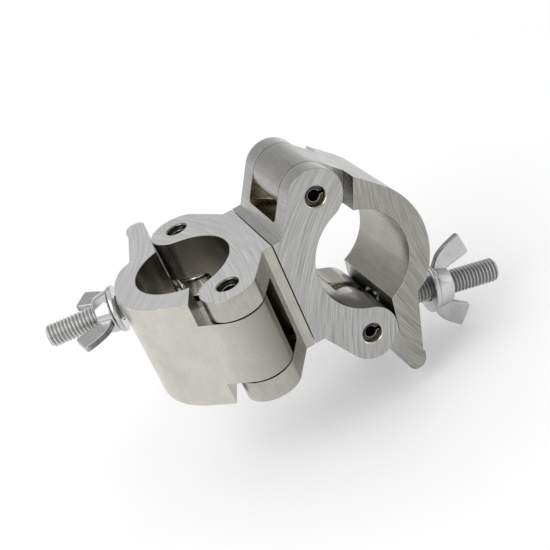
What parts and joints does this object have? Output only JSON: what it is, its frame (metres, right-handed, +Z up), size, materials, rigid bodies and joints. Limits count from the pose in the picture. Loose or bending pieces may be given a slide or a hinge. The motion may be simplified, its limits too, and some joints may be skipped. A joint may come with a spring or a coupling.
{
  "type": "swivel pipe clamp",
  "caption": "Swivel pipe clamp: twin aluminium half couplers back to back on a swivel, each with a hinged jaw shut by a swing eyebolt and wing nut.",
  "frame": {"origin": "on the axis of the upright half's tube, halfway along its bore", "axes": "+X along the swivel axis towards the half whose tube lies level, +Z up along the tube of the upright half, +Y away from the viewer of the picture"},
  "size_m": [0.139, 0.0855, 0.0855],
  "materials": {
    "machined_aluminium": "saw-cut ends, satin extruded sides",
    "bright_zinc": "bright zinc plate",
    "zinc_thread": "zinc plated thread",
    "spring_steel": "bare spring steel",
    "black_steel": "black oxide",
    "bearing_plastic": "moulded"
  },
  "bodies": {
    "upright_half": {"upright_saddle": "machined_aluminium", "upright_hinge_pin": "spring_steel", "upright_eyebolt_pin": "spring_steel", "swivel_bolt": "black_steel", "swivel_nut": "black_steel", "swivel_sleeve": "spring_steel", "thrust_washer": "bearing_plastic", "head_washer": "bright_zinc", "nut_washer": "bright_zinc"},
    "upright_jaw": {"upright_jaw": "machined_aluminium"},
    "upright_eyebolt": {"upright_eyebolt": "zinc_thread"},
    "upright_washer": {"upright_washer": "bright_zinc"},
    "upright_wing_nut": {"upright_wing_nut": "bright_zinc"},
    "level_half": {"level_saddle": "machined_aluminium", "level_hinge_pin": "spring_steel", "level_eyebolt_pin": "spring_steel"},
    "level_jaw": {"level_jaw": "machined_aluminium"},
    "level_eyebolt": {"level_eyebolt": "zinc_thread"},
    "level_washer": {"level_washer": "bright_zinc"},
    "level_wing_nut": {"level_wing_nut": "bright_zinc"}
  },
  "joints": [
    {"name": "swivel", "type": "hinge", "parent": "upright_half", "child": "level_half", "pos_m": [0.0266, 0, 0], "axis": [1, 0, 0], "continuous": true},
    {"name": "upright_jaw_hinge", "type": "hinge", "parent": "upright_half", "child": "upright_jaw", "pos_m": [0.0091, -0.02499, 0], "axis": [0, 0, 1], "range_deg": [0, 40]},
    {"name": "upright_eyebolt_swing", "type": "hinge", "parent": "upright_half", "child": "upright_eyebolt", "pos_m": [0.0091, 0.02499, 0], "axis": [0, 0, -1], "range_deg": [0, 160]},
    {"name": "upright_washer_travel", "type": "slide", "parent": "upright_eyebolt", "child": "upright_washer", "axis": [-0.9659, 0.2588, 0], "range_m": [-0.01063, 0.01688]},
    {"name": "upright_nut_spin", "type": "hinge", "parent": "upright_washer", "child": "upright_wing_nut", "pos_m": [0.0091, 0.02499, 0], "axis": [-0.9659, 0.2588, 0], "range_deg": [-3060, 4860]},
    {"name": "level_jaw_hinge", "type": "hinge", "parent": "level_half", "child": "level_jaw", "pos_m": [0.0441, 0, 0.02499], "axis": [0, -1, 0], "range_deg": [0, 40]},
    {"name": "level_eyebolt_swing", "type": "hinge", "parent": "level_half", "child": "level_eyebolt", "pos_m": [0.0441, 0, -0.02499], "axis": [0, 1, 0], "range_deg": [0, 160]},
    {"name": "level_washer_travel", "type": "slide", "parent": "level_eyebolt", "child": "level_washer", "axis": [0.9659, 0, -0.2588], "range_m": [-0.01063, 0.01688]},
    {"name": "level_nut_spin", "type": "hinge", "parent": "level_washer", "child": "level_wing_nut", "pos_m": [0.0441, 0, -0.02499], "axis": [0.9659, 0, -0.2588], "range_deg": [-3060, 4860]}
  ],
  "couplings": [
    {"joint": "upright_eyebolt_swing", "follows": "upright_jaw_hinge", "ratio": 4},
    {"joint": "level_eyebolt_swing", "follows": "level_jaw_hinge", "ratio": 4},
    {"joint": "upright_nut_spin", "follows": "upright_washer_travel", "rad_per_m": 5026.5},
    {"joint": "level_nut_spin", "follows": "level_washer_travel", "rad_per_m": 5026.5}
  ]
}
